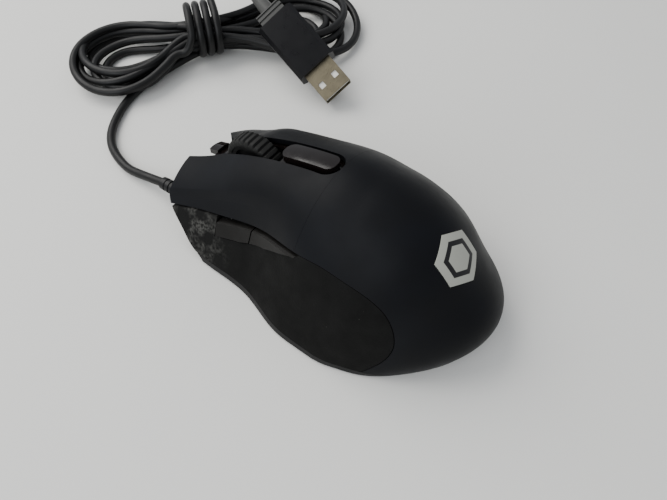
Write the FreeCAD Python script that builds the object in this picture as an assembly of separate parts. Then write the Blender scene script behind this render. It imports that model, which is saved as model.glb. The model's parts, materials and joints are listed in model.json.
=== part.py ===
import FreeCAD, Part
import math
import os

# Wired computer mouse for the right hand.  Millimetres, +Z up, +Y towards the cable end.
# The origin is on the standing surface, under the middle of the mouse without its cable.

V = FreeCAD.Vector

# ---------------------------------------------------------------- driving dimensions
NOSE_Y = 52.8            # front edge of the main buttons
BASE_Z = 0.7             # underside of the base, standing on its glide feet
WALL = 1.6               # thickness of the shells and grips
RIM_TOP = 2.3            # top of the thin rim that the base shows all round
SEAM = 0.2               # gap between fixed shells
SLOT_HALF = 4.3          # half width of the slot between the main buttons
HINGE_Y = -0.2           # where the button panels flex out of the palm shell
BUTTON_GAP = 0.05        # gap behind a button panel, at its flexing root
FLEX_LIFT = 0.0115       # extra seam per millimetre in front of the flexing root
BOARD_Z = 4.4            # underside of the main board
BOARD_T = 1.6
BOARD_TOP = BOARD_Z + BOARD_T
WHEEL_Y = 30.4
WHEEL_Z = 21.2
WHEEL_R = 11.2
WHEEL_HALF_W = 2.7
TYRE_INNER_R = 9.0
HUB_HALF_W = 2.5
WEB_HALF_W = 1.5         # the hub's web, between its two sunk faces
AXLE_R = 1.2
ARM_IN = 4.3             # the carriage's arms, each side of the wheel
ARM_OUT = 5.6
WHEEL_SWITCH = (9.0, WHEEL_Y - 4.0)      # x and y of the switch under the wheel
BOARD_SCREWS = [(-14, -20), (14, -20), (0, 19.5)]
DPI_Y = 10.0             # the small button behind the wheel, and its switch
SWITCH_X = 15.5          # main switches, each side of the wheel
SWITCH_Y = 28.3
POST_Y = SWITCH_Y + 1.8    # where a main button's post meets its switch
CASE_SCREW_X = 17.0
CASE_SCREW_Y = -30.0
EMBLEM_R = 7.6           # corner radius of the hexagonal emblem window
CABLE_R = 1.55
RELIEF_START = V(-14.0, 38.4, 6.6)
RELIEF_END = V(-15.6, 61.5, 5.4)

# Cross sections of the body from front to back: station, height, left and right half width, crown.
STATIONS = [57.7, 45.3, 29.8, 14.4, -1.0, -14.4]
HEIGHT = [17.6, 21.6, 30.5, 37.2, 41.4, 41.4]
LEFT_HALF = [27.0, 29.1, 30.5, 31.4, 35.3, 35.2]
RIGHT_HALF = [27.8, 29.9, 31.2, 32.0, 34.3, 35.3]
CROWN = [2.4, 2.2, 1.9, 1.7, 1.6, 1.5]
# Behind the last station the sections turn about a line across the mouse, below its base.
FAN_Y = STATIONS[-1]
FAN_Z = -8.2
FAN_ANGLES = [0, 20, 40, 60, 75, 90, 100]
FAN_RADIUS = [49.6, 48.4, 44.7, 44.2, 37.2, 39.1, 38.6]
FAN_CROWN = [1.5, 1.4, 1.3, 1.2, 1.1, 1.1, 1.1]
# Hollows for thumb and ring finger: depth, centre y, spread y, centre z, spread z, side.
HOLLOWS = [(4.6, 14.4, 26.8, 16.5, 14.4, -1), (2.1, 9.3, 26.8, 12.4, 12.4, 1)]

# Seam between the top and the left grip, seen from the side (y, z); the right one mirrors it.
GRIP_SEAM = [(56.0, 7.4), (49.3, 9.8), (41.5, 12.8), (32.8, 15.7), (22.6, 18.8), (12.3, 22.3),
             (1.3, 26.2), (-7.3, 27.8), (-15.8, 27.7), (-22.8, 26.8), (-28.6, 24.0),
             (-32.6, 18.5), (-34.0, 13.2), (-32.9, 8.6), (-29.1, 2.6), (-27.6, -1.0)]
# The slanted front under the buttons, from the base up to the nose (y, z).
FRONT_PROFILE = [(31.9, -2.0), (32.2, 0.7), (36.9, 3.2), (41.9, 6.6), (47.9, 9.6), (51.8, 12.4),
                 (NOSE_Y, 16.5)]
# Opening of the two side buttons in the left grip (y, z).  It runs up past the seam, so that the
# top's edge closes it.
SIDE_OPENING = [(31.0, 18.0), (29.6, 10.9), (20.2, 13.6), (10.8, 17.9), (0.5, 25.0),
                (-1.8, 26.4), (-1.8, 30.0)]
# Each side button's part of that opening (y, z), and the place of its small switch.
FORWARD_OUTLINE = [(29.9, 15.1), (29.0, 11.7), (20.2, 14.2), (17.3, 15.6), (17.3, 19.5)]
BACK_OUTLINE = [(16.9, 19.6), (16.9, 15.7), (10.8, 18.5), (0.7, 25.3), (-0.9, 25.9)]
SIDE_SWITCHES = {"forward": (23.6, 15.2), "back": (10.6, 19.6)}
SIDE_PLUNGER_X = -16.5     # outer end of both plungers
SIDE_BOARD_X = -12.9       # face of the small board that both switches sit on
SIDE_FRAME_X = -11.7       # face of the bracket that holds that board

# Free stretch of the cable, from the strain relief to the hank (x, y, z).
CABLE_ROUTE = [(-15.6, 61.5, 5.4), (-16.6, 70.5, 3.6), (-17.4, 80.5, 1.75), (-12.2, 95.5, 1.7),
               (3.5, 105.0, 1.7), (18.6, 107.6, 1.7)]
# The cable's wires inside the casing, from the relief to the connector (x, y, z).
INNER_CABLE_R = 0.9
INNER_ROUTE = [(-14.1, 40.2, 6.6), (-13.6, 37.3, 7.4), (-10.9, 35.2, 9.2), (-9.1, 29.5, 10.6),
               (-8.9, 21.5, 11.6), (-9.6, 15.6, 10.6), (-9.7, 14.2, 8.6)]
# Outlines of the tied hank, seen from above (x, y).
LEFT_LOBE = [(43, 121), (45, 146), (34, 153), (17, 151), (7, 143), (-1, 127), (-1, 114), (6, 107),
             (21, 106.4), (37, 102)]
RIGHT_LOBE = [(46, 90), (52, 78), (57, 70), (68, 65.5), (80, 64), (95, 69), (108, 79), (118, 92),
              (119, 104), (108, 114), (92, 117), (74, 115), (58, 118)]
HANK_H = 8.0
PLUG_TIP = V(55.3, 41.2, 6.4)
PLUG_AXIS = V(-0.15, -0.925, -0.35)      # towards the tip
PLUG_WIDE = V(0.82, -0.35, 0.46)
SHELL_W = 12.0           # the plug's metal shell
SHELL_T = 4.5
SHELL_L = 12.0
SHELL_SHEET = 0.35
SHELL_ROOT = 4.0         # how far the shell runs back into the plug's body
PLUG_BODY_L = 25.0


# ---------------------------------------------------------------- small helpers
def box(x0, x1, y0, y1, z0, z1):
    return Part.makeBox(x1 - x0, y1 - y0, z1 - z0, V(x0, y0, z0))


def rod(radius, start, end):
    run = end - start
    return Part.makeCylinder(radius, run.Length, start, run)


def prism(points, travel):
    wire = Part.makePolygon(points + [points[0]])
    return Part.Face(wire).extrude(travel)


def side_prism(outline, x0, x1):
    return prism([V(x0, y, z) for y, z in outline], V(x1 - x0, 0, 0))


def rounded_plate(x0, x1, y0, y1, z0, z1, radius):
    plate = box(x0, x1, y0, y1, z0, z1)
    upright = [e for e in plate.Edges if abs(e.tangentAt(e.FirstParameter).z) > 0.9]
    return plate.makeFillet(radius, upright)


def smooth_value(xs, ys, x):
    """Cubic through the listed values, with the slope at each taken from its neighbours."""
    if xs[0] > xs[-1]:
        xs = xs[::-1]
        ys = ys[::-1]
    slopes = []
    last = len(xs) - 1
    for i in range(len(xs)):
        a = max(i - 1, 0)
        b = min(i + 1, last)
        slopes.append((ys[b] - ys[a]) / (xs[b] - xs[a]))
    i = 0
    while i < last - 1 and x > xs[i + 1]:
        i += 1
    step = xs[i + 1] - xs[i]
    t = (x - xs[i]) / step
    h00 = 2 * t**3 - 3 * t**2 + 1
    h10 = t**3 - 2 * t**2 + t
    h01 = 3 * t**2 - 2 * t**3
    h11 = t**3 - t**2
    return h00 * ys[i] + h10 * step * slopes[i] + h01 * ys[i + 1] + h11 * step * slopes[i + 1]


def curve_through(points):
    curve = Part.BSplineCurve()
    curve.interpolate(points)
    return curve.toShape()


def save(name, shape):
    if len(shape.Solids) == 1:
        shape = shape.Solids[0]
    shape.exportStep("parts/" + name + ".step")
    sizes = ["%.0f" % s.Volume for s in shape.Solids]
    print(name, "solids", len(shape.Solids), "mm3", " ".join(sizes[:4]), "valid", shape.isValid())


# ---------------------------------------------------------------- the body's outer surface
def hollowed(point):
    x, y, z = point
    for depth, y0, sy, z0, sz, side in HOLLOWS:
        spread = math.exp(-((y - y0) / sy) ** 2 - ((z - z0) / sz) ** 2)
        x -= side * depth * spread / (1 + math.exp(-side * x / 4))
    fall = max(0.0, y - 32.0) * 0.026
    if x > 0:
        z -= fall * x / (1 + x / 20.0)
    return V(x, y, z)


def section(half_left, half_right, reach, crown, lean, count):
    """One section: a flattened arch whose plane leans back by an angle about the fan line."""
    row = []
    for k in range(count):
        turn = 0.03 + (math.pi - 0.06) * k / (count - 1)
        c = math.cos(turn)
        s = math.sin(turn)
        across = math.copysign(abs(c) ** (2 / max(crown, 2.0)), c)
        rise = reach * s ** (2 / crown)
        x = across * (half_right if c > 0 else half_left)
        row.append((x, -math.sin(lean) * rise, math.cos(lean) * rise))
    return row


def surface_grid():
    rows = []
    fore = 17
    aft = 13
    count = 29
    front = STATIONS[0]
    for i in range(fore):
        y = front + (FAN_Y - front) * i / fore
        row = section(smooth_value(STATIONS, LEFT_HALF, y), smooth_value(STATIONS, RIGHT_HALF, y),
                      smooth_value(STATIONS, HEIGHT, y) - FAN_Z, smooth_value(STATIONS, CROWN, y),
                      0.0, count)
        rows.append([hollowed((p[0], y + p[1], FAN_Z + p[2])) for p in row])
    for i in range(aft):
        angle = FAN_ANGLES[-1] * i / (aft - 1)
        row = section(LEFT_HALF[-1], RIGHT_HALF[-1], smooth_value(FAN_ANGLES, FAN_RADIUS, angle),
                      smooth_value(FAN_ANGLES, FAN_CROWN, angle), math.radians(angle), count)
        rows.append([hollowed((p[0], FAN_Y + p[1], FAN_Z + p[2])) for p in row])
    return rows


GRID = surface_grid()


def sunk_grid(depth):
    """The surface's points moved inwards by a depth, along their normals."""
    rows = []
    for i, row in enumerate(GRID):
        moved = []
        for k, point in enumerate(row):
            ahead = GRID[max(i - 1, 0)][k]
            behind = GRID[min(i + 1, len(GRID) - 1)][k]
            left = row[max(k - 1, 0)]
            right = row[min(k + 1, len(row) - 1)]
            normal = (behind - ahead).cross(right - left)
            normal.normalize()
            moved.append(point + normal * depth)
        rows.append(moved)
    return rows


def body_at_depth(depth):
    """The solid under the outer surface sunk by a depth, down to below the base."""
    surface = Part.BSplineSurface()
    surface.interpolate(sunk_grid(depth))
    block = box(-60, 60, -70, NOSE_Y + 1.5, -1.0, 60)
    pieces = block.generalFuse([surface.toShape()])[0]
    for solid in pieces.Solids:
        if solid.isInside(V(0, 0, 10), 1e-4, False):
            return solid
    raise ValueError("no body at depth %s" % depth)


OUTER = body_at_depth(0.0)
INNER = body_at_depth(WALL)


# ---------------------------------------------------------------- cutting tools
def front_space(inset):
    """Everything in front of the slanted front and the nose; an inset moves it back."""
    pts = [V(-60, y - inset, z + inset * 0.6) for y, z in FRONT_PROFILE[:-1]]
    pts.append(V(-60, NOSE_Y - inset, FRONT_PROFILE[-1][1] + inset * 0.3))
    curve = curve_through(pts)
    far = [pts[-1], V(-60, NOSE_Y - inset, 70), V(-60, 90, 70), V(-60, 90, pts[0].z), pts[0]]
    edges = [curve] + Part.makePolygon(far).Edges
    face = Part.Face(Part.Wire(edges))
    return face.extrude(V(120, 0, 0))


def seam_offset(lift):
    """The seam's points moved away from the grip, square to the seam."""
    last = len(GRIP_SEAM) - 1
    moved = []
    for i, (y, z) in enumerate(GRIP_SEAM):
        y0, z0 = GRIP_SEAM[max(i - 1, 0)]
        y1, z1 = GRIP_SEAM[min(i + 1, last)]
        run = math.hypot(y1 - y0, z1 - z0)
        moved.append(V(0, y + lift * (z1 - z0) / run, z - lift * (y1 - y0) / run))
    return moved


def grip_region(side, lift):
    """The part of space that a grip takes: below its seam, on one side."""
    pts = seam_offset(lift)
    curve = curve_through(pts)
    low = Part.makePolygon([pts[-1], V(0, -27, -4), V(0, 60, -4), pts[0]])
    face = Part.Face(Part.Wire([curve] + low.Edges))
    return face.extrude(V(side * 60, 0, 0))


def flex_region(side):
    """The grip's region with the wider seam that a flexing button needs above it."""
    pts = []
    for y, z in GRIP_SEAM[:9]:
        pts.append(V(0, y, z + SEAM + max(0.0, y - HINGE_Y) * FLEX_LIFT))
    curve = curve_through(pts)
    low = Part.makePolygon([pts[-1], V(0, pts[-1].y, -4), V(0, 60, -4), pts[0]])
    face = Part.Face(Part.Wire([curve] + low.Edges))
    return face.extrude(V(side * 60, 0, 0))


def slot_between_buttons():
    straight = box(-SLOT_HALF, SLOT_HALF, 4.0, 60, 5, 60)
    end = Part.makeCylinder(SLOT_HALF, 55, V(0, 4.0, 5))
    return straight.fuse(end)


def nose_outline_cut(side):
    """Cuts a button's front edge: a slant beside the wheel, then a straight nose."""
    inner = 40.6 if side < 0 else 46.5
    knee = 53.0 if side < 0 else 51.5
    outer = 51.6 if side < 0 else 47.0
    pts = [V(0, inner, 0), V(side * SLOT_HALF, inner, 0), V(side * 8.6, knee, 0),
           V(side * 24.5, outer, 0), V(side * 31, outer - 8, 0), V(side * 60, outer - 8, 0),
           V(side * 60, 80, 0), V(0, 80, 0)]
    return prism(pts, V(0, 0, 60))


# ---------------------------------------------------------------- casing
def shell():
    return OUTER.cut(INNER)


def make_top_shell(skin):
    top = skin.common(box(-60, 60, -70, HINGE_Y, RIM_TOP + SEAM, 60)).cut(slot_between_buttons())
    for side in (-1, 1):
        top = top.cut(grip_region(side, SEAM))
    hole = emblem_prism(EMBLEM_R + 0.1, -3.0, 6.0)
    top = top.cut(hole)
    under_grips = OUTER.cut(body_at_depth(WALL + SEAM))
    for side in (-1, 1):
        x = side * CASE_SCREW_X
        boss = rod(2.6, V(x, CASE_SCREW_Y, 2.95), V(x, CASE_SCREW_Y, 40)).common(body_at_depth(0.8))
        boss = boss.cut(under_grips.common(grip_region(side, SEAM)))
        bore = rod(1.0, V(x, CASE_SCREW_Y, 2.0), V(x, CASE_SCREW_Y, 12.0))
        top = top.fuse(boss).cut(bore)
    return top.removeSplitter()


def make_button(skin, side):
    half = box(min(0, side * 60), max(0, side * 60), HINGE_Y + BUTTON_GAP, 60, RIM_TOP, 60)
    panel = skin.common(half).cut(flex_region(side)).cut(slot_between_buttons())
    panel = panel.cut(nose_outline_cut(side)).cut(front_space(0.0))
    post = box(side * SWITCH_X - 1.0, side * SWITCH_X + 1.0, POST_Y - 0.9, POST_Y + 0.9, 13.35, 40)
    post = post.common(body_at_depth(0.8))
    panel = panel.fuse(post).removeSplitter()
    return max(panel.Solids, key=lambda s: s.Volume)


def make_grip(skin, side):
    grip = skin.common(grip_region(side, 0.0)).cut(box(-60, 60, -70, 60, -5, RIM_TOP + SEAM))
    grip = grip.cut(front_space(0.0))
    if side < 0:
        grip = grip.cut(side_prism(SIDE_OPENING, -60, 0))
    return max(grip.removeSplitter().Solids, key=lambda s: s.Volume)


def make_base():
    bottom = OUTER.common(box(-60, 60, -70, 60, BASE_Z, RIM_TOP)).cut(front_space(0.0))
    floor = body_at_depth(WALL + 0.2).common(box(-60, 60, -70, 60, RIM_TOP, 2.7))
    floor = floor.cut(front_space(0.0))
    wall = body_at_depth(WALL + 0.2).common(front_space(1.6)).cut(front_space(0.0))
    wall = wall.common(box(-60, 60, 20, 60, 1.5, 9.4))
    base = bottom.fuse(floor).fuse(wall).removeSplitter()
    base = base.cut(box(-4.5, 4.5, -5, 5, 0, 4))
    for x in (-CASE_SCREW_X, CASE_SCREW_X):
        base = base.cut(rod(1.15, V(x, CASE_SCREW_Y, 0), V(x, CASE_SCREW_Y, 6)))
        base = base.cut(rod(2.4, V(x, CASE_SCREW_Y, 0), V(x, CASE_SCREW_Y, 1.7)))
    for x, y in BOARD_SCREWS:
        post = rod(2.2, V(x, y, 2.0), V(x, y, BOARD_Z)).cut(rod(0.8, V(x, y, 2.2), V(x, y, 9)))
        base = base.fuse(post)
    relief_hole = rod(3.1, RELIEF_START, RELIEF_END)
    return base.cut(relief_hole).removeSplitter()


def make_console():
    """Glossy trough between the buttons: it frames the wheel and the small button behind it."""
    plate = body_at_depth(2.3).cut(body_at_depth(3.2)).common(box(-6.2, 6.2, -1.5, 46.6, 10, 60))
    plate = plate.cut(box(-3.5, 3.5, WHEEL_Y - 11.0, WHEEL_Y + 12.0, 0, 60))
    lip = body_at_depth(1.2).cut(body_at_depth(3.2)).common(box(-2.6, 2.6, 45.9, 49.6, 10, 60))
    plate = plate.fuse(lip)
    plate = plate.cut(rod(1.9, V(0, DPI_Y, 20), V(0, DPI_Y, 60)))
    plate = plate.cut(box(-9, 9, WHEEL_Y - 5.3, WHEEL_Y + 4.3, 0, 23.1))
    for y in (DPI_Y - 5.8, DPI_Y + 5.8):
        peg = rod(1.3, V(0, y, 30.25), V(0, y, 45)).common(body_at_depth(2.7))
        plate = plate.fuse(peg)
    return plate.removeSplitter()


def make_glides():
    """Low friction feet under the base: two small ones in front, a wide one behind."""
    feet = {}
    feet["left_front_glide"] = rounded_plate(-25, -13, 21, 27.5, 0, BASE_Z, 3.0)
    feet["right_front_glide"] = rounded_plate(13, 25, 21, 27.5, 0, BASE_Z, 3.0)
    feet["rear_glide"] = rounded_plate(-13, 13, -43, -36, 0, BASE_Z, 3.2)
    return feet


def emblem_prism(radius, depth0, depth1):
    """Hexagonal prism through the back of the palm shell, square to its surface."""
    lean = math.radians(41)
    centre = V(0, -35.8, 31.6)
    up = V(0, -math.sin(lean), math.cos(lean))
    along = V(0, math.cos(lean), math.sin(lean))
    pts = []
    for k in range(6):
        a = math.radians(60 * k + 30)
        pts.append(centre + V(1, 0, 0) * (radius * math.cos(a)) + along * (radius * math.sin(a))
                   - up * depth1)
    return prism(pts, up * (depth1 - depth0))


def make_emblem_window():
    window = emblem_prism(EMBLEM_R, -3.0, 6.0)
    return window.common(body_at_depth(-0.15)).cut(INNER)


def make_light_guide():
    guide = emblem_prism(EMBLEM_R - 2.2, 0.0, 22.0).common(body_at_depth(WALL + 0.1))
    return guide.common(box(-20, 20, -70, 0, 9.0, 60))


# ---------------------------------------------------------------- boards and electronics
def make_main_board():
    pts = [V(-11, -27, BOARD_Z), V(11, -27, BOARD_Z), V(17, -23, BOARD_Z), V(19.5, 8, BOARD_Z),
           V(19.5, 33.5, BOARD_Z), V(17, 35.2, BOARD_Z), V(-17, 35.2, BOARD_Z),
           V(-19.5, 33.5, BOARD_Z), V(-19.5, 8, BOARD_Z), V(-17, -23, BOARD_Z)]
    board = prism(pts, V(0, 0, BOARD_T))
    board = board.cut(box(-3.5, 3.5, -3.5, 3.5, 0, 9))
    for x, y in BOARD_SCREWS:
        board = board.cut(rod(1.0, V(x, y, 0), V(x, y, 9)))
    return board


def make_board_screws():
    screws = []
    for x, y in BOARD_SCREWS:
        head = rod(1.7, V(x, y, BOARD_TOP), V(x, y, BOARD_TOP + 1.0))
        screws.append(head.fuse(rod(0.8, V(x, y, 2.8), V(x, y, BOARD_TOP + 0.2))).removeSplitter())
    return Part.makeCompound(screws)


def make_case_screws():
    screws = []
    for x in (-CASE_SCREW_X, CASE_SCREW_X):
        head = rod(2.2, V(x, CASE_SCREW_Y, 0.8), V(x, CASE_SCREW_Y, 1.7))
        shank = rod(1.0, V(x, CASE_SCREW_Y, 1.6), V(x, CASE_SCREW_Y, 10))
        screws.append(head.fuse(shank).removeSplitter())
    return Part.makeCompound(screws)


def make_lever_switch(x, y, width, length, height):
    body = box(x - width / 2, x + width / 2, y - length / 2, y + length / 2, BOARD_TOP,
               BOARD_TOP + height)
    body = body.makeFillet(0.3, body.Edges)
    return body


def make_main_switch(side):
    body = make_lever_switch(side * SWITCH_X, SWITCH_Y, 5.8, 12.8, 6.5)
    x = side * SWITCH_X
    return body.cut(box(x - 0.76, x + 0.76, POST_Y - 1.36, POST_Y + 1.36, 10.0, 20))


def make_main_plunger(side):
    x = side * SWITCH_X
    return box(x - 0.7, x + 0.7, POST_Y - 1.3, POST_Y + 1.3, 11.0, 13.3)


def make_wheel_switch():
    x, y = WHEEL_SWITCH
    body = make_lever_switch(x, y, 5.2, 5.6, 5.5)
    return body.cut(rod(1.06, V(x, y, 8.5), V(x, y, 20)))


def make_wheel_plunger():
    x, y = WHEEL_SWITCH
    return rod(1.0, V(x, y, 10.0), V(x, y, 12.3))


def make_sensor():
    chip = box(-5, 5, -7, 5.5, BOARD_TOP, BOARD_TOP + 2.2)
    return chip.cut(box(-1.2, 1.2, -1.2, 1.2, BOARD_TOP - 1, BOARD_TOP + 1.2))


def make_lens():
    flange = box(-8, 8, -8, 8, 2.7, 4.3)
    barrel = rod(3.2, V(0, 0, 1.4), V(0, 0, 4.3))
    arch = box(-7, 7, -3, 3, 2.7, 3.4)
    return flange.fuse(barrel).cut(Part.makeSphere(1.6, V(0, 0, 5.2))).fuse(arch).removeSplitter()


# ---------------------------------------------------------------- wheel and its carriage
def wheel_disc(radius, x0, x1):
    return Part.makeCylinder(radius, x1 - x0, V(x0, WHEEL_Y, WHEEL_Z), V(1, 0, 0))


def make_tyre():
    outer = wheel_disc(WHEEL_R, -WHEEL_HALF_W, WHEEL_HALF_W)
    rims = [e for e in outer.Edges if isinstance(e.Curve, Part.Circle)]
    return outer.makeFillet(0.8, rims).cut(wheel_disc(TYRE_INNER_R, -10, 10))


def make_hub():
    hub = wheel_disc(TYRE_INNER_R, -HUB_HALF_W, HUB_HALF_W)
    for x0, x1 in ((-HUB_HALF_W - 1, -WEB_HALF_W), (WEB_HALF_W, HUB_HALF_W + 1)):
        sunk = wheel_disc(TYRE_INNER_R - 1.3, x0, x1).cut(wheel_disc(3.2, x0, x1))
        hub = hub.cut(sunk)
    return hub.cut(wheel_disc(AXLE_R, -10, 10))


def make_axle():
    return wheel_disc(AXLE_R, -8.0, 5.9)


def make_carriage():
    """A cradle with an arm at each end of the axle and a lug that presses the wheel's switch."""
    rear = WHEEL_Y - 4.9
    front = WHEEL_Y + 3.9
    floor = box(-ARM_OUT, ARM_OUT, rear, front, 6.6, 7.6)
    arm = [(rear, 6.6), (front, 6.6), (front, 20.0), (front - 1.6, 22.7), (rear, 22.7)]
    left = side_prism(arm, -ARM_OUT, -ARM_IN)
    right = side_prism(arm, ARM_IN, ARM_OUT)
    lug = box(ARM_OUT, 10.4, rear, rear + 1.8, 12.35, 13.6)
    frame = floor.fuse(left).fuse(right).fuse(lug).removeSplitter()
    return frame.cut(wheel_disc(AXLE_R + 0.05, -6, 6))


def make_encoder():
    body = box(-8.0, -ARM_OUT, WHEEL_Y - 3.0, WHEEL_Y + 2.4, 14.5, 22.6)
    return body.cut(wheel_disc(1.95, -9, -3))


def make_encoder_rotor():
    return wheel_disc(1.88, -7.9, -5.7).cut(wheel_disc(AXLE_R, -9, -3))


def make_wheel_frame():
    """Posts on the board that the carriage slides between."""
    rear = (WHEEL_Y - 7.1, WHEEL_Y - 5.2)
    front = (WHEEL_Y + 4.2, WHEEL_Y + 5.7)
    frame = box(-7.2, -5.9, rear[0], front[1], BOARD_TOP, 7.8)
    for y0, y1 in (rear, front):
        frame = frame.fuse(box(-7.2, 5.9, y0, y1, BOARD_TOP, 7.8))
    for x0, x1 in ((-5.9, -4.1), (4.1, 5.9)):
        frame = frame.fuse(box(x0, x1, rear[0], rear[1], BOARD_TOP, 17))
        frame = frame.fuse(box(x0, x1, front[0], front[1], BOARD_TOP, 16))
    return frame.removeSplitter()


# ---------------------------------------------------------------- small buttons
def make_dpi_button():
    top = body_at_depth(-0.45).cut(body_at_depth(1.6))
    bar = rounded_plate(-2.8, 2.8, DPI_Y - 8.6, DPI_Y + 9.2, 20, 60, 2.4)
    button = top.common(bar)
    stem = rod(1.5, V(0, DPI_Y, 33.1), V(0, DPI_Y, 50)).common(body_at_depth(0.8))
    return button.fuse(stem).removeSplitter()


def make_dpi_switch():
    body = box(-3, 3, DPI_Y - 3, DPI_Y + 3, 30.2, 32.4)
    return body.cut(rod(1.06, V(0, DPI_Y, 31), V(0, DPI_Y, 40)))


def make_side_button(outline, place):
    top = body_at_depth(-0.5).cut(body_at_depth(1.8))
    cap = top.common(side_prism(outline, -60, -8))
    cap = max(cap.Solids, key=lambda s: s.Volume)
    y, z = place
    post = rod(1.2, V(-25, y, z), V(SIDE_PLUNGER_X - 0.05, y, z)).common(body_at_depth(1.0))
    return cap.fuse(post).removeSplitter()


def make_side_switch(place):
    y, z = place
    body = box(SIDE_PLUNGER_X + 0.6, SIDE_BOARD_X, y - 2.8, y + 2.8, z - 2.2, z + 2.2)
    return body.cut(rod(1.06, V(SIDE_PLUNGER_X, y, z), V(SIDE_PLUNGER_X + 2, y, z)))


def make_side_plunger(place):
    y, z = place
    return rod(1.0, V(SIDE_PLUNGER_X, y, z), V(SIDE_PLUNGER_X + 1.2, y, z))


def make_side_board():
    return box(SIDE_BOARD_X, SIDE_FRAME_X, -1, 28, 12.8, 23)


def make_side_frame():
    inner = SIDE_FRAME_X + 1.2
    wall = box(SIDE_FRAME_X, inner, -1, 28, 11, 23)
    leg = box(SIDE_FRAME_X, inner, -1, 3.5, BOARD_TOP, 11.5)
    foot = box(SIDE_FRAME_X - 3.8, inner, -1, 3.5, BOARD_TOP, 7.2)
    return wall.fuse(leg).fuse(foot).removeSplitter()


# ---------------------------------------------------------------- cable
def make_relief():
    """Tapered sleeve with a flange inside the casing and a few rings cut round its free end."""
    run = RELIEF_END - RELIEF_START
    length = run.Length
    cone = Part.makeCone(3.0, 2.15, length, RELIEF_START, run)
    flange = Part.makeCylinder(4.2, 1.4, RELIEF_START, run).cut(front_space(WALL + 0.2))
    relief = cone.fuse(flange)
    step = 1.9
    for k in range(5):
        start = RELIEF_START + run * ((13.0 + k * step) / length)
        ring = Part.makeCylinder(4.0, 0.8, start, run)
        relief = relief.cut(ring.cut(Part.makeCylinder(2.0, 0.8, start, run)))
    return relief.removeSplitter()


def rounded_route(points, radius_share, label):
    """Straight runs joined by tangent arcs, each as large as its two runs allow."""
    pts = [V(*p) for p in points]
    edges = []
    start = pts[0]
    for i in range(1, len(pts) - 1):
        back = pts[i - 1] - pts[i]
        ahead = pts[i + 1] - pts[i]
        turn = math.pi - back.getAngle(ahead)
        cut = radius_share * min(back.Length, ahead.Length)
        radius = cut / math.tan(turn / 2)
        print(label, "point", i, "turn %.0f deg" % math.degrees(turn), "radius %.1f" % radius)
        u = V(back).normalize()
        w = V(ahead).normalize()
        p0 = pts[i] + u * cut
        p1 = pts[i] + w * cut
        inwards = (u + w).normalize()
        centre = pts[i] + inwards * (radius / math.cos(turn / 2))
        middle = centre - inwards * radius
        if (p0 - start).Length > 1e-6:
            edges.append(Part.LineSegment(start, p0).toShape())
        edges.append(Part.Arc(p0, middle, p1).toShape())
        start = p1
    edges.append(Part.LineSegment(start, pts[-1]).toShape())
    return Part.Wire(edges)


def make_tube(points, radius, label):
    wire = rounded_route(points, 0.45, label)
    first = V(*points[0])
    along = V(*points[1]) - first
    disc = Part.Wire(Part.makeCircle(radius, first, along))
    tube = wire.makePipeShell([disc], True, True)
    ideal = math.pi * radius**2 * wire.Length
    print(label, "length %.1f" % wire.Length, "volume ratio %.4f" % (tube.Volume / ideal))
    return tube


def closed_curve(outline, z):
    curve = Part.BSplineCurve()
    curve.interpolate([V(x, y, z) for x, y in outline], True)
    return Part.Wire(curve.toShape())


def make_hank():
    left = Part.Face(closed_curve(LEFT_LOBE, 0.0)).extrude(V(0, 0, HANK_H))
    right = Part.Face(closed_curve(RIGHT_LOBE, 0.0)).extrude(V(0, 0, 5.0))
    waist = prism([V(34, 104, 0), V(45, 88.5, 0), V(52, 88, 0), V(62, 118, 0), V(50, 124, 0),
                   V(41, 122, 0)], V(0, 0, 17.0))
    return left.fuse(waist).fuse(right).removeSplitter()


# ---------------------------------------------------------------- plug
def plug_placement():
    axis = V(PLUG_AXIS).normalize()
    wide = V(PLUG_WIDE)
    wide = (wide - axis * wide.dot(axis)).normalize()
    up = wide.cross(axis)
    return FreeCAD.Placement(FreeCAD.Matrix(wide.x, axis.x, up.x, PLUG_TIP.x,
                                            wide.y, axis.y, up.y, PLUG_TIP.y,
                                            wide.z, axis.z, up.z, PLUG_TIP.z,
                                            0, 0, 0, 1))


def placed(shape):
    moved = shape.copy()
    moved.Placement = plug_placement()
    return moved


def shell_block(y0, y1, inset):
    """The metal shell's section between two places along the plug, shrunk by an inset."""
    w = SHELL_W / 2 - inset
    t = SHELL_T / 2 - inset
    return box(-w, w, y0, y1, -t, t)


def make_plug_shell():
    metal = shell_block(-SHELL_L - SHELL_ROOT, 0, 0.0)
    metal = metal.cut(shell_block(-SHELL_L - SHELL_ROOT - 1, 1, SHELL_SHEET))
    for x in (-3.1, 3.1):
        metal = metal.cut(box(x - 1.1, x + 1.1, -6.6, -4.2, -5, 5))
    return placed(metal)


def make_plug_insulator():
    return placed(box(-5.5, 5.5, -SHELL_L - 3.5, -0.4, -1.8, 0.1))


def make_plug_contacts():
    strips = []
    for x in (-3.5, -1.0, 1.0, 3.5):
        strips.append(box(x - 0.5, x + 0.5, -9.6, -1.2, 0.1, 0.35))
    return placed(Part.makeCompound(strips))


def make_plug_body():
    back = -SHELL_L - PLUG_BODY_L
    body = box(-8.0, 8.0, back, -SHELL_L, -4.2, 4.2)
    long_edges = [e for e in body.Edges if abs(e.tangentAt(e.FirstParameter).y) > 0.9]
    body = body.makeChamfer(1.5, long_edges)
    pocket = shell_block(-SHELL_L - SHELL_ROOT - 0.02, 5, -0.02)
    return placed(body.cut(pocket))


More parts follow.
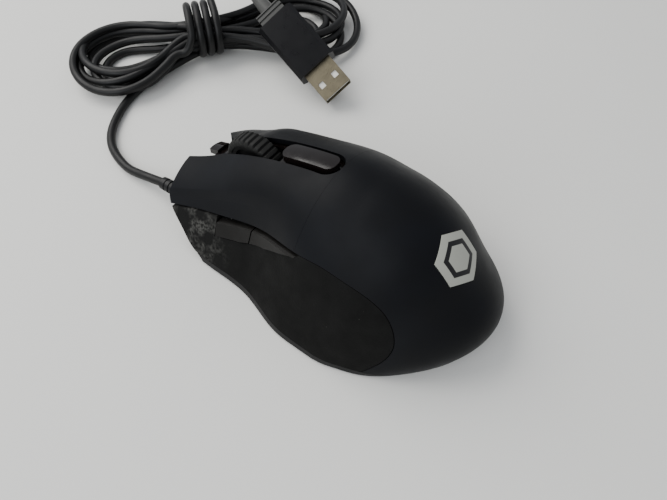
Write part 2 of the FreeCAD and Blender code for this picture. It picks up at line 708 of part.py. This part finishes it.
def make_plug_neck():
    back = -SHELL_L - PLUG_BODY_L
    neck = box(-5.5, 5.5, back - 4.5, back, -3.2, 3.2)
    tail = Part.makeCone(2.9, 2.1, 9.0, V(0, back - 4.5, 0), V(0, -1, 0))
    neck = neck.fuse(tail)
    for k in range(2):
        y = back - 1.6 - k * 1.7
        groove = box(-9, 9, y - 0.7, y, -9, 9).cut(box(-4.9, 4.9, y - 0.7, y, -2.6, 2.6))
        neck = neck.cut(groove)
    return placed(neck.removeSplitter())


# ---------------------------------------------------------------- write every piece
def write_casing(skin):
    save("top_shell", make_top_shell(skin))
    save("left_button", make_button(skin, -1))
    save("right_button", make_button(skin, 1))
    save("left_grip", make_grip(skin, -1))
    save("right_grip", make_grip(skin, 1))
    save("base_tray", make_base())
    save("centre_console", make_console())
    for name, foot in make_glides().items():
        save(name, foot)
    save("emblem_window", make_emblem_window())
    save("emblem_light_guide", make_light_guide())
    save("case_screws", make_case_screws())


def write_electronics():
    save("main_board", make_main_board())
    save("board_screws", make_board_screws())
    for name, side in (("left", -1), ("right", 1)):
        save(name + "_switch_body", make_main_switch(side))
        save(name + "_switch_plunger", make_main_plunger(side))
    save("wheel_switch_body", make_wheel_switch())
    save("wheel_switch_plunger", make_wheel_plunger())
    save("sensor_chip", make_sensor())
    save("sensor_lens", make_lens())
    save("emblem_led", box(-1.75, 1.75, -22, -19, BOARD_TOP, BOARD_TOP + 1.8))
    save("controller_chip", box(3.5, 10.5, -18, -11, BOARD_TOP, BOARD_TOP + 1.2))
    save("cable_connector", box(-13.2, -6.2, 12.5, 16.5, BOARD_TOP, BOARD_TOP + 4.2))


def write_wheel():
    save("wheel_tyre", make_tyre())
    save("wheel_hub", make_hub())
    save("wheel_axle", make_axle())
    save("wheel_carriage", make_carriage())
    save("encoder_body", make_encoder())
    save("encoder_rotor", make_encoder_rotor())
    save("wheel_frame", make_wheel_frame())


def write_small_buttons():
    save("dpi_button", make_dpi_button())
    save("dpi_switch_body", make_dpi_switch())
    save("dpi_switch_plunger", rod(1.0, V(0, DPI_Y, 31.4), V(0, DPI_Y, 33.05)))
    save("dpi_board", box(-5.5, 5.5, DPI_Y - 7, DPI_Y + 7, 29.0, 30.2))
    save("forward_button", make_side_button(FORWARD_OUTLINE, SIDE_SWITCHES["forward"]))
    save("back_button", make_side_button(BACK_OUTLINE, SIDE_SWITCHES["back"]))
    for name, place in SIDE_SWITCHES.items():
        save(name + "_switch_body", make_side_switch(place))
        save(name + "_switch_plunger", make_side_plunger(place))
    save("side_board", make_side_board())
    save("side_frame", make_side_frame())


def write_cable():
    save("cable_relief", make_relief())
    save("inner_cable", make_tube(INNER_ROUTE, INNER_CABLE_R, "inner_cable"))
    save("cable_tube", make_tube(CABLE_ROUTE, CABLE_R, "cable"))
    save("cable_hank", make_hank())
    save("plug_shell", make_plug_shell())
    save("plug_insulator", make_plug_insulator())
    save("plug_contacts", make_plug_contacts())
    save("plug_body", make_plug_body())
    save("plug_neck", make_plug_neck())


def main():
    os.makedirs("parts", exist_ok=True)
    write_casing(shell())
    write_electronics()
    write_wheel()
    write_small_buttons()
    write_cable()


main()
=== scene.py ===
import json
import math
import bmesh
import bpy
from mathutils import Matrix, Vector


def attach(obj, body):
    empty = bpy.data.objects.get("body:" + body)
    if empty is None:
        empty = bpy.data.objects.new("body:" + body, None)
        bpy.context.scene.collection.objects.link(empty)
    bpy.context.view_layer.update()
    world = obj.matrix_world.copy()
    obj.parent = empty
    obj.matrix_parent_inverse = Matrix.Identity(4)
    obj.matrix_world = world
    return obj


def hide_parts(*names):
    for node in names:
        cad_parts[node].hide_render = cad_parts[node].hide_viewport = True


# A wired computer mouse for the right hand, with its cable tied in a loose hank.
# Metres, +Z up, +Y towards the cable end; the origin is under the middle of the mouse.

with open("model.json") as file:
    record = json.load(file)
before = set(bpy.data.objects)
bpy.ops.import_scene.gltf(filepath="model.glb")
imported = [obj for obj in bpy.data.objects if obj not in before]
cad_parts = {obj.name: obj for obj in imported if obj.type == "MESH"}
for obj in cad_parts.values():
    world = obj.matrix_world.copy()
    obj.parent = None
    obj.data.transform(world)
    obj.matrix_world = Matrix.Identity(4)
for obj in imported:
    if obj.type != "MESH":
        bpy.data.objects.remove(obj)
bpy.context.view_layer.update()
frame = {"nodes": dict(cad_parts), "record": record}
nodes = frame["nodes"]
MM = 0.001


def mm(x, y, z):
    return Vector((x, y, z)) * MM


# ---------------------------------------------------------------- camera
FOCAL_SHARE = 0.83958            # focal length as a share of the picture's width
SENSOR = 36.0
AZIMUTH = math.radians(-54.25)
ELEVATION = math.radians(56.66)
ROLL = math.radians(1.34)
CAMERA_AIM = mm(0, -6.2, 15.45)
CAMERA_OFFSET = (-6.76, -4.05, 164.2)      # to the right of the aim, above it and back from it


def make_camera():
    back = Vector((math.sin(AZIMUTH) * math.cos(ELEVATION),
                   -math.cos(AZIMUTH) * math.cos(ELEVATION), math.sin(ELEVATION)))
    level = Vector((math.cos(AZIMUTH), math.sin(AZIMUTH), 0))
    upright = back.cross(level)
    right = level * math.cos(ROLL) + upright * math.sin(ROLL)
    up = upright * math.cos(ROLL) - level * math.sin(ROLL)
    data = bpy.data.cameras.new("view")
    data.sensor_width = SENSOR
    data.lens = SENSOR * FOCAL_SHARE
    data.clip_start = 0.01
    camera = bpy.data.objects.new("view", data)
    bpy.context.scene.collection.objects.link(camera)
    aside, above, away = CAMERA_OFFSET
    place = CAMERA_AIM + (right * aside + up * above + back * away) * MM
    turn = Matrix((right, up, back)).transposed().to_4x4()
    camera.matrix_world = Matrix.Translation(place) @ turn
    bpy.context.scene.camera = camera


make_camera()


# ---------------------------------------------------------------- cord
CABLE_R = 1.55
CABLE_D = 2 * CABLE_R
CABLE_ROUTE = [(-15.6, 61.5, 5.4), (-16.6, 70.5, 3.6), (-17.4, 80.5, 1.75), (-12.2, 95.5, 1.7),
               (3.5, 105.0, 1.7), (18.6, 107.6, 1.7)]
PLUG_TIP = Vector((55.3, 41.2, 6.4))
PLUG_AXIS = Vector((-0.15, -0.925, -0.35)).normalized()
PLUG_LENGTH = 50.0
PLUG_NECK_FROM_TIP = 37.1
PLUG_TAIL = PLUG_TIP - PLUG_AXIS * PLUG_LENGTH

WAIST = Vector((47.5, 104.5))                  # where the hank is tied
ALONG = Vector((0.82, -0.572)).normalized()    # from its left lobe to its right one
ACROSS = Vector((0.572, 0.82)).normalized()
# Each turn: reach to the right and left, fold radii there, and how far each end fans round.
TURNS = [(48, 41, 11.0, 10.5, -4, 7), (54, 46, 13.5, 12.5, 5, -9), (58, 45, 16.0, 14.5, -7, 10),
         (60, 50, 18.0, 16.5, 2, 1), (63, 48, 20.0, 18.0, 8, -6), (66, 52, 22.0, 19.5, -2, 5)]
FOLD_STEP = math.radians(30)
SIDE_SHARES = (0.0, 0.36, 0.70)  # places along a lobe's opening side
CORD_GAP = 0.1                   # daylight between the cord and what it rests on
TOP_OF_PILE = 7.2                # the highest that a turn's middle line lies away from the tie
TIED_REACH = 13.0                # how far from the tie the turns still follow its columns
ROW_RISE = 3.2
JOIN = (-7.6, -11.0, 8.6)        # on the way into the wraps: along, across and height
WRAPS = 3
WRAP_POINTS = 14
WRAP_WIDE = 10.8
WRAP_HIGH = 8.6
WRAP_SLIP = 3.4
WRAP_START = -4.6
WRAP_LOW = CABLE_R + 0.2
TO_PLUG = [(56.0, 105.8, 19.8), (60.2, 110.6, 21.4), (66.2, 113.2, 23.2), (72.6, 110.6, 25.0),
           (73.2, 103.4, 26.4), (68.8, 96.8, 26.9)]
STRAIGHT_AT_PLUG = 7.5


def lobe(reach, radius, slot, fan_degrees, way):
    """One end of a turn, from the tie round the fold and back, each place with how tied it is.

    way is 1 for the right end and -1 for the left one.
    """
    centre = reach - radius
    lean = 0.5
    for _ in range(20):            # the angle at which the opening sides run smoothly into the fold
        rise = 2 * (radius * math.cos(lean) - slot)
        lean = (lean + math.atan2(rise, centre - radius * math.sin(lean))) / 2
    start = Vector((centre - radius * math.sin(lean), -radius * math.cos(lean)))
    path = [(start.x * t, -slot + (start.y + slot) * t * t) for t in SIDE_SHARES]
    sweep = math.pi + 2 * lean
    count = round(sweep / FOLD_STEP)
    for k in range(count + 1):
        angle = -sweep / 2 + sweep * k / count
        path.append((centre + radius * math.cos(angle), radius * math.sin(angle)))
    path += [(far, -side) for far, side in (path[2], path[1])]
    fan = math.radians(fan_degrees)
    places = []
    for far, side in path:
        x = far * way * math.cos(fan) - side * way * math.sin(fan)
        y = far * way * math.sin(fan) + side * way * math.cos(fan)
        places.append((WAIST + ALONG * x + ACROSS * y, math.exp(-(far / TIED_REACH) ** 2)))
    return places


def segment_gap(p, a, b):
    """Distance from a point to a segment, seen from above, and the segment's height there."""
    run = Vector((b.x - a.x, b.y - a.y))
    share = (Vector((p.x - a.x, p.y - a.y)) @ run) / max(run.length_squared, 1e-9)
    share = max(0.0, min(1.0, share))
    near = Vector((a.x, a.y)) + run * share
    return (Vector((p.x, p.y)) - near).length, a.z + (b.z - a.z) * share


def laid_height(before, here, laid):
    """The height at which the cord rests on what is already laid, between two places."""
    height = CABLE_R + CORD_GAP
    for share in (0.0, 0.25, 0.5, 0.75, 1.0):
        p = before + (here - before) * share
        for a, b in zip(laid[:-3], laid[1:-2]):
            gap, z = segment_gap(p, a, b)
            if gap < CABLE_D:
                height = max(height, z + math.sqrt(CABLE_D ** 2 - gap ** 2))
    return height


def lay_hank(points):
    """The turns, each resting on the earlier ones, and stacked in four columns under the tie."""
    for turn, (right, left, right_fold, left_fold, right_fan, left_fan) in enumerate(TURNS):
        slot = (0.5 + turn % 2) * CABLE_D + CORD_GAP
        slot_z = CABLE_D + CABLE_R + CORD_GAP + (turn // 2) * ROW_RISE
        path = lobe(right, right_fold, slot, right_fan, 1) + lobe(left, left_fold, slot, left_fan, -1)
        for spot, tied in path:
            height = min(laid_height(Vector(points[-1][:2]), spot, points), TOP_OF_PILE)
            z = height * (1 - tied) + slot_z * tied
            points.append(Vector((spot.x, spot.y, z)))
    return points


def eased(points, first, last):
    """The heights of a stretch, evened out so that crossings are long low humps."""
    for _ in range(2):
        heights = [p.z for p in points]
        for i in range(first, last):
            points[i].z = (heights[i - 1] + 2 * heights[i] + heights[i + 1]) / 4
    return points


def wrap_waist(points):
    """Loose wraps round the tied middle, each a little further along; they start on its near side."""
    for k in range(1, WRAPS * WRAP_POINTS + WRAP_POINTS // 4 + 1):
        t = 2 * math.pi * k / WRAP_POINTS
        slip = WRAP_START + WRAP_SLIP * k / WRAP_POINTS
        spot = WAIST + ALONG * slip - ACROSS * (WRAP_WIDE * math.cos(t))
        points.append(Vector((spot.x, spot.y, WRAP_LOW + WRAP_HIGH * (1 + math.sin(t)))))
    return points


def cord_points():
    """The whole cable's points, in millimetres, from the mouse to the plug."""
    points = [Vector(p) for p in CABLE_ROUTE]
    points = lay_hank(points)[:-1]
    points = eased(points, len(CABLE_ROUTE), len(points) - 1)
    far, side, z = JOIN
    spot = WAIST + ALONG * far + ACROSS * side
    points.append(Vector((spot.x, spot.y, z)))
    points = wrap_waist(points)
    points += [Vector(p) for p in TO_PLUG]
    points.append(PLUG_TAIL - PLUG_AXIS * STRAIGHT_AT_PLUG)
    points.append(PLUG_TAIL)
    return points


def make_cable():
    data = bpy.data.curves.new("cable", "CURVE")
    data.dimensions = "3D"
    data.bevel_depth = 1.0         # the points' own radius sets the thickness
    data.bevel_resolution = 5
    data.resolution_u = 6
    data.use_fill_caps = True
    points = cord_points()
    spline = data.splines.new("NURBS")
    spline.points.add(len(points) - 1)
    for place, point in zip(spline.points, points):
        place.co = (point.x * MM, point.y * MM, point.z * MM, 1.0)
        place.radius = CABLE_R * MM
    spline.order_u = 3
    spline.use_endpoint_u = True
    cable = bpy.data.objects.new("cable", data)
    bpy.context.scene.collection.objects.link(cable)
    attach(cable, "root")
    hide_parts("cable_tube", "cable_hank")
    return cable


cable = make_cable()


# ---------------------------------------------------------------- materials
class Finish:
    """A Principled material under construction, with procedural detail in object coordinates."""

    def __init__(self, name, colour, roughness, metallic=0.0):
        self.material = bpy.data.materials.new(name)
        self.material.use_nodes = True
        self.tree = self.material.node_tree
        self.shader = self.tree.nodes["Principled BSDF"]
        self.shader.inputs["Metallic"].default_value = metallic
        self.place = self.tree.nodes.new("ShaderNodeTexCoord").outputs["Object"]
        self.colour = self.constant_colour(colour)
        self.rough = roughness
        self.relief = None

    def constant_colour(self, colour):
        node = self.tree.nodes.new("ShaderNodeRGB")
        node.outputs[0].default_value = (*colour, 1.0)
        return node.outputs[0]

    def set(self, **values):
        for name, value in values.items():
            self.shader.inputs[name.replace("_", " ")].default_value = value
        return self

    def noise(self, size_mm, detail=4.0, stretch=(1, 1, 1)):
        """Noise whose features are about this many millimetres, from 0 to 1."""
        mapping = self.tree.nodes.new("ShaderNodeMapping")
        mapping.inputs["Scale"].default_value = [s / (size_mm * MM) for s in stretch]
        self.tree.links.new(self.place, mapping.inputs["Vector"])
        node = self.tree.nodes.new("ShaderNodeTexNoise")
        node.inputs["Scale"].default_value = 1.0
        node.inputs["Detail"].default_value = detail
        self.tree.links.new(mapping.outputs[0], node.inputs["Vector"])
        return node.outputs["Fac"]

    def cells(self, size_mm, feature="F1"):
        """Distance to the middles of cells about this many millimetres wide, or to their edges."""
        mapping = self.tree.nodes.new("ShaderNodeMapping")
        mapping.inputs["Scale"].default_value = [1 / (size_mm * MM)] * 3
        self.tree.links.new(self.place, mapping.inputs["Vector"])
        node = self.tree.nodes.new("ShaderNodeTexVoronoi")
        node.feature = feature
        node.inputs["Scale"].default_value = 1.0
        self.tree.links.new(mapping.outputs[0], node.inputs["Vector"])
        return node.outputs["Distance"]

    def ramp(self, value, low, high, out_low=0.0, out_high=1.0):
        """Turns the span from low to high into the span from out_low to out_high."""
        node = self.tree.nodes.new("ShaderNodeMapRange")
        node.inputs["From Min"].default_value = low
        node.inputs["From Max"].default_value = high
        node.inputs["To Min"].default_value = out_low
        node.inputs["To Max"].default_value = out_high
        self.tree.links.new(value, node.inputs["Value"])
        return node.outputs[0]

    def math(self, operation, a, b):
        node = self.tree.nodes.new("ShaderNodeMath")
        node.operation = operation
        for socket, value in zip(node.inputs, (a, b)):
            if isinstance(value, (int, float)):
                socket.default_value = value
            else:
                self.tree.links.new(value, socket)
        return node.outputs[0]

    def near(self, centre, radius_mm):
        """1 at a point of the object, falling to 0 at this distance from it."""
        node = self.tree.nodes.new("ShaderNodeVectorMath")
        node.operation = "DISTANCE"
        node.inputs[1].default_value = mm(*centre)
        self.tree.links.new(self.place, node.inputs[0])
        return self.ramp(node.outputs["Value"], 0.0, radius_mm * MM, 1.0, 0.0)

    def tint(self, share, colour):
        """Mixes a colour in, by a share that varies over the surface."""
        node = self.tree.nodes.new("ShaderNodeMix")
        node.data_type = "RGBA"
        self.tree.links.new(share, node.inputs["Factor"])
        self.tree.links.new(self.colour, node.inputs[6])
        node.inputs[7].default_value = (*colour, 1.0)
        self.colour = node.outputs[2]
        return self

    def vary_roughness(self, value, low, high):
        self.rough = self.ramp(value, 0.3, 0.7, low, high)
        return self

    def bump(self, value, height_mm, strength=1.0):
        node = self.tree.nodes.new("ShaderNodeBump")
        node.inputs["Strength"].default_value = strength
        node.inputs["Distance"].default_value = height_mm * MM
        self.tree.links.new(value, node.inputs["Height"])
        if self.relief is not None:
            self.tree.links.new(self.relief, node.inputs["Normal"])
        self.relief = node.outputs[0]
        return self

    def done(self):
        """Links colour, roughness and relief to the shader, and gives the material."""
        self.tree.links.new(self.colour, self.shader.inputs["Base Color"])
        if isinstance(self.rough, (int, float)):
            self.shader.inputs["Roughness"].default_value = self.rough
        else:
            self.tree.links.new(self.rough, self.shader.inputs["Roughness"])
        if self.relief is not None:
            self.tree.links.new(self.relief, self.shader.inputs["Normal"])
        return self.material


def soft_touch_shell():
    """Matt black paint, faintly blue, with a fine grain, dust and a crease beside the nose."""
    f = Finish("soft_touch_shell", (0.0032, 0.0035, 0.0046), 0.5)
    f.tint(f.ramp(f.noise(22, 3), 0.45, 0.75, 0.0, 0.55), (0.0046, 0.0056, 0.0085))
    f.tint(f.ramp(f.cells(2.6), 0.03, 0.0, 0.0, 0.35), (0.035, 0.035, 0.033))
    f.vary_roughness(f.noise(9, 5), 0.42, 0.54)
    f.bump(f.noise(0.22, 2), 0.010, 0.5)
    f.bump(crease(f), 0.9, 0.8)
    return f.set(Specular_IOR_Level=0.11).done()


CREASE_X = -13.7 * MM
CREASE_Y = 10 * MM
CREASE_BEND = -3.4               # per metre: how fast the crease swings outwards
CREASE_STEP = (-1.6 * MM, 0.6 * MM)
CREASE_FADE = (8 * MM, 30 * MM)


def crease(f):
    """A step along the left button: it starts at the nose and fades out towards the palm."""
    split = f.tree.nodes.new("ShaderNodeSeparateXYZ")
    f.tree.links.new(f.place, split.inputs[0])
    x, y = split.outputs[0], split.outputs[1]
    behind = f.math("SUBTRACT", y, CREASE_Y)
    line = f.math("MULTIPLY", f.math("MULTIPLY", behind, behind), CREASE_BEND)
    away = f.math("SUBTRACT", f.math("SUBTRACT", x, line), CREASE_X)
    step = f.ramp(away, *CREASE_STEP)
    return f.math("MULTIPLY", step, f.ramp(y, *CREASE_FADE))


SCUFF_PLACE = (-27, 40, 9)
SCUFF_REACH = 19


def grip_rubber():
    """Black rubber with a pebble grain, and a pale scuffed patch where the thumb's tip rests."""
    f = Finish("grip_rubber", (0.0036, 0.0036, 0.0034), 0.7)
    patches = f.math("MULTIPLY", f.ramp(f.noise(5.0, 8), 0.44, 0.60), f.ramp(f.noise(0.9, 6), 0.36, 0.6))
    f.tint(f.math("MULTIPLY", f.near(SCUFF_PLACE, SCUFF_REACH), patches), (0.085, 0.084, 0.078))
    f.tint(f.ramp(f.cells(3.8), 0.04, 0.0, 0.0, 0.8), (0.08, 0.078, 0.07))
    f.vary_roughness(f.noise(5, 4), 0.60, 0.78)
    f.bump(f.cells(0.6), 0.05, 0.6)
    return f.set(Specular_IOR_Level=0.11).done()


def moulded(name, colour, low, high, grain_mm=0.3, height_mm=0.012, shine=0.2):
    """Plain moulded plastic: a fine grain, patchy gloss and slightly uneven colour."""
    f = Finish(name, colour, low)
    f.set(Specular_IOR_Level=shine)
    lighter = tuple(min(1.0, c * 1.35 + 0.003) for c in colour)
    f.tint(f.ramp(f.noise(6, 4), 0.45, 0.8, 0.0, 0.6), lighter)
    f.vary_roughness(f.noise(4, 4), low, high)
    f.bump(f.noise(grain_mm, 3), height_mm, 0.5)
    return f.done()


def circuit_board():
    """Green lacquer with paler lines like copper tracks under it."""
    f = Finish("circuit_board", (0.008, 0.06, 0.022), 0.35)
    tracks = f.cells(2.1, "DISTANCE_TO_EDGE")
    f.tint(f.ramp(tracks, 0.05, 0.07, 1.0, 0.0), (0.02, 0.13, 0.05))
    f.vary_roughness(f.noise(3), 0.28, 0.42)
    f.bump(tracks, 0.03, 0.4)
    return f.done()


def clear_plastic():
    """Clear plastic, slightly uneven in gloss."""
    f = Finish("clear_plastic", (0.82, 0.85, 0.85), 0.1)
    f.vary_roughness(f.noise(4), 0.06, 0.16)
    return f.set(Transmission_Weight=0.9, IOR=1.49).done()


def plated_steel(name, colour, low, high):
    """Plated metal with darker patches and fine scratches along one axis."""
    f = Finish(name, colour, low, 1.0)
    f.tint(f.ramp(f.noise(3, 5), 0.4, 0.75, 0.0, 0.6), tuple(c * 0.62 for c in colour))
    scratches = f.noise(1.2, 4, (1.0, 9.0, 1.0))
    f.vary_roughness(scratches, low, high)
    f.bump(scratches, 0.004, 0.4)
    return f.done()


def plug_plastic():
    """Smooth black plastic, with a painted highlight on the ridged neck: it is tinted paler grey for the
    light that it reflects.
    """
    f = Finish("plug_plastic", (0.0035, 0.0035, 0.0045), 0.3)
    back = f.tree.nodes.new("ShaderNodeVectorMath")
    back.operation = "DOT_PRODUCT"
    back.inputs[1].default_value = -PLUG_AXIS
    f.tree.links.new(f.place, back.inputs[0])
    neck_start = PLUG_NECK_FROM_TIP - PLUG_TIP @ PLUG_AXIS
    # painted highlight: from the neck back, the colour is mixed towards pale grey to stand for light
    # reflected off the glossy ridges
    neck_painted_highlight = f.ramp(back.outputs["Value"], neck_start * MM, (neck_start + 0.3) * MM, 0.0, 0.8)
    f.tint(neck_painted_highlight, (0.09, 0.09, 0.086))
    f.vary_roughness(f.noise(4, 4), 0.26, 0.34)
    f.bump(f.noise(0.3, 3), 0.008, 0.5)
    return f.set(Specular_IOR_Level=0.16).done()


EMBLEM_CENTRE = mm(0, -35.8, 31.6)
EMBLEM_LEAN = math.radians(41)
LINE_INSIDE = (3.25 * MM, 3.35 * MM)
LINE_OUTSIDE = (4.55 * MM, 4.65 * MM)


def emblem_plastic():
    """Light grey plastic with a dark hexagonal line let into it."""
    f = Finish("emblem_plastic", (0.36, 0.365, 0.32), 0.35)
    offset = f.tree.nodes.new("ShaderNodeVectorMath")
    offset.operation = "SUBTRACT"
    offset.inputs[1].default_value = EMBLEM_CENTRE
    f.tree.links.new(f.place, offset.inputs[0])
    reach = None
    for k in range(3):
        angle = math.radians(60 * k)
        across = f.tree.nodes.new("ShaderNodeVectorMath")
        across.operation = "DOT_PRODUCT"
        across.inputs[1].default_value = (math.cos(angle), math.sin(angle) * math.cos(EMBLEM_LEAN),
                                          math.sin(angle) * math.sin(EMBLEM_LEAN))
        f.tree.links.new(offset.outputs[0], across.inputs[0])
        size = f.math("ABSOLUTE", across.outputs["Value"], 0.0)
        reach = size if reach is None else f.math("MAXIMUM", reach, size)
    inside = f.ramp(reach, *LINE_INSIDE)
    outside = f.ramp(reach, *LINE_OUTSIDE, 1.0, 0.0)
    f.tint(f.math("MULTIPLY", inside, outside), (0.006, 0.006, 0.007))
    f.vary_roughness(f.noise(4, 4), 0.30, 0.42)
    f.bump(f.noise(0.3, 3), 0.004, 0.4)
    return f.set(Specular_IOR_Level=0.3).done()


def cable_rubber():
    """Smooth black cable sheath with a faint grain."""
    f = Finish("cable_rubber", (0.0045, 0.0045, 0.0048), 0.45)
    f.set(Specular_IOR_Level=0.26)
    f.tint(f.ramp(f.noise(14, 4), 0.45, 0.8, 0.0, 0.5), (0.009, 0.009, 0.0085))
    f.vary_roughness(f.noise(5, 4), 0.36, 0.52)
    f.bump(f.noise(0.8, 3), 0.012, 0.5)
    return f.done()


MATERIALS = {
    "soft_touch_shell": soft_touch_shell(),
    "grip_rubber": grip_rubber(),
    "base_plastic": moulded("base_plastic", (0.010, 0.010, 0.010), 0.45, 0.6, 0.35, 0.02),
    "gloss_trim": moulded("gloss_trim", (0.0055, 0.0038, 0.0036), 0.12, 0.22, 0.5, 0.002, 0.3),
    "side_button_plastic": moulded("side_button_plastic", (0.0065, 0.006, 0.0055), 0.30, 0.42, 0.25,
                                   0.012, 0.14),
    "glide_foot": moulded("glide_foot", (0.02, 0.02, 0.02), 0.25, 0.45, 0.8, 0.006),
    "emblem_plastic": emblem_plastic(),
    "clear_plastic": clear_plastic(),
    "screw_steel": plated_steel("screw_steel", (0.4, 0.4, 0.41), 0.25, 0.4),
    "circuit_board": circuit_board(),
    "component_black": moulded("component_black", (0.014, 0.014, 0.014), 0.4, 0.55),
    "switch_plunger": moulded("switch_plunger", (0.6, 0.6, 0.56), 0.3, 0.42),
    "component_white": moulded("component_white", (0.55, 0.55, 0.5), 0.35, 0.5),
    "wheel_rubber": moulded("wheel_rubber", (0.0085, 0.0085, 0.008), 0.5, 0.68, 0.4, 0.02),
    "wheel_plastic": moulded("wheel_plastic", (0.006, 0.006, 0.006), 0.3, 0.45),
    "axle_steel": plated_steel("axle_steel", (0.5, 0.5, 0.5), 0.18, 0.3),
    "cable_rubber": cable_rubber(),
    "plug_plastic": plug_plastic(),
    "plug_steel": plated_steel("plug_steel", (0.2, 0.175, 0.12), 0.26, 0.4),
    "plug_insulator": moulded("plug_insulator", (0.72, 0.71, 0.66), 0.35, 0.5),
    "contact_brass": plated_steel("contact_brass", (0.75, 0.58, 0.26), 0.18, 0.3),
}


def paint(piece, slot):
    piece.data.materials.clear()
    piece.data.materials.append(MATERIALS[slot])


def paint_cad_nodes():
    for part in frame["record"]["subparts"]:
        paint(nodes[part["node"]], part["material_slot"])


# ---------------------------------------------------------------- wheel's tyre
WHEEL_CENTRE = mm(0, 30.4, 21.2)
TYRE_PROFILE = [(-2.66, 9.04), (-2.68, 10.3), (-2.45, 10.78), (-2.0, 11.0), (-1.0, 11.06), (0.0, 11.08),
                (1.0, 11.06), (2.0, 11.0), (2.45, 10.78), (2.68, 10.3), (2.66, 9.04)]
RIDGES = 34
STEPS_PER_RIDGE = 8
RIDGE_HEIGHT = 0.62
RIDGE_LAND = 0.52                # share of a ridge that stays at full height
TREAD_R = 10.5                   # beyond this radius the grooves have their full depth
GROOVE_FOOT_R = 9.9              # and they run out at this one


def ridge_drop(share):
    """How far the tread is sunk at a share of one ridge's pitch: a flat top and a rounded groove."""
    away = abs(share - 0.5) * 2
    return RIDGE_HEIGHT * max(0.0, (away - RIDGE_LAND) / (1 - RIDGE_LAND)) ** 0.6


def make_tyre():
    """The wheel's ribbed rubber tyre, as one closed ring of faces round the axle."""
    steps = RIDGES * STEPS_PER_RIDGE
    columns = len(TYRE_PROFILE)
    verts = []
    for k in range(steps):
        angle = 2 * math.pi * k / steps
        drop = ridge_drop((k % STEPS_PER_RIDGE) / STEPS_PER_RIDGE)
        for x, radius in TYRE_PROFILE:
            edge = max(0.0, (radius - GROOVE_FOOT_R) / (TREAD_R - GROOVE_FOOT_R)) * 0.5
            depth = drop * (1 if radius > TREAD_R else edge)
            r = radius - depth
            verts.append(WHEEL_CENTRE + mm(x, r * math.cos(angle), r * math.sin(angle)))
    faces = []
    for k in range(steps):
        a = k * columns
        b = (k + 1) % steps * columns
        for i in range(columns):
            j = (i + 1) % columns
            faces.append((a + i, a + j, b + j, b + i))
    mesh = bpy.data.meshes.new("tyre")
    mesh.from_pydata(verts, [], faces)
    solid = bmesh.new()
    solid.from_mesh(mesh)
    bmesh.ops.recalc_face_normals(solid, faces=solid.faces)
    solid.to_mesh(mesh)
    solid.free()
    tyre = bpy.data.objects.new("tyre", mesh)
    bpy.context.scene.collection.objects.link(tyre)
    mesh.set_sharp_from_angle(angle=math.radians(50))
    for face in mesh.polygons:
        face.use_smooth = True
    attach(tyre, "wheel")
    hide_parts("wheel_tyre")
    return tyre


paint_cad_nodes()
paint(cable, "cable_rubber")
paint(make_tyre(), "wheel_rubber")


# ---------------------------------------------------------------- stage
FLOOR_HALF = 3.0
LIGHT_AIM = (0, 0, 0.02)
ROOM_LIGHT = 0.64


def make_floor():
    """Plain pale paper, wide enough to fill every view."""
    mesh = bpy.data.meshes.new("floor")
    half = FLOOR_HALF
    mesh.from_pydata([(-half, -half, 0), (half, -half, 0), (half, half, 0), (-half, half, 0)], [],
                     [(0, 1, 2, 3)])
    floor = bpy.data.objects.new("floor", mesh)
    bpy.context.scene.collection.objects.link(floor)
    f = Finish("floor_paper", (0.74, 0.735, 0.705), 0.75)
    f.tint(f.ramp(f.noise(60, 3), 0.4, 0.7, 0.0, 0.4), (0.72, 0.715, 0.69))
    mesh.materials.append(f.done())


def area_light(name, place, size, power, colour):
    data = bpy.data.lights.new(name, "AREA")
    data.shape = "RECTANGLE"
    data.size, data.size_y = size
    data.energy = power
    data.color = colour
    light = bpy.data.objects.new(name, data)
    light.location = place
    light.rotation_mode = "QUATERNION"
    light.rotation_quaternion = (Vector(LIGHT_AIM) - Vector(place)).to_track_quat("-Z", "Y")
    bpy.context.scene.collection.objects.link(light)


def make_lights():
    area_light("key", (-0.05, 0.55, 0.62), (0.8, 0.6), 7.0, (1.0, 0.985, 0.95))
    area_light("fill", (-0.7, 0.05, 0.5), (0.6, 0.6), 3.4, (0.94, 0.97, 1.0))
    world = bpy.data.worlds.new("room")
    world.use_nodes = True
    background = world.node_tree.nodes["Background"]
    background.inputs[0].default_value = (0.92, 0.95, 1.0, 1.0)
    background.inputs[1].default_value = ROOM_LIGHT
    bpy.context.scene.world = world


make_floor()
make_lights()
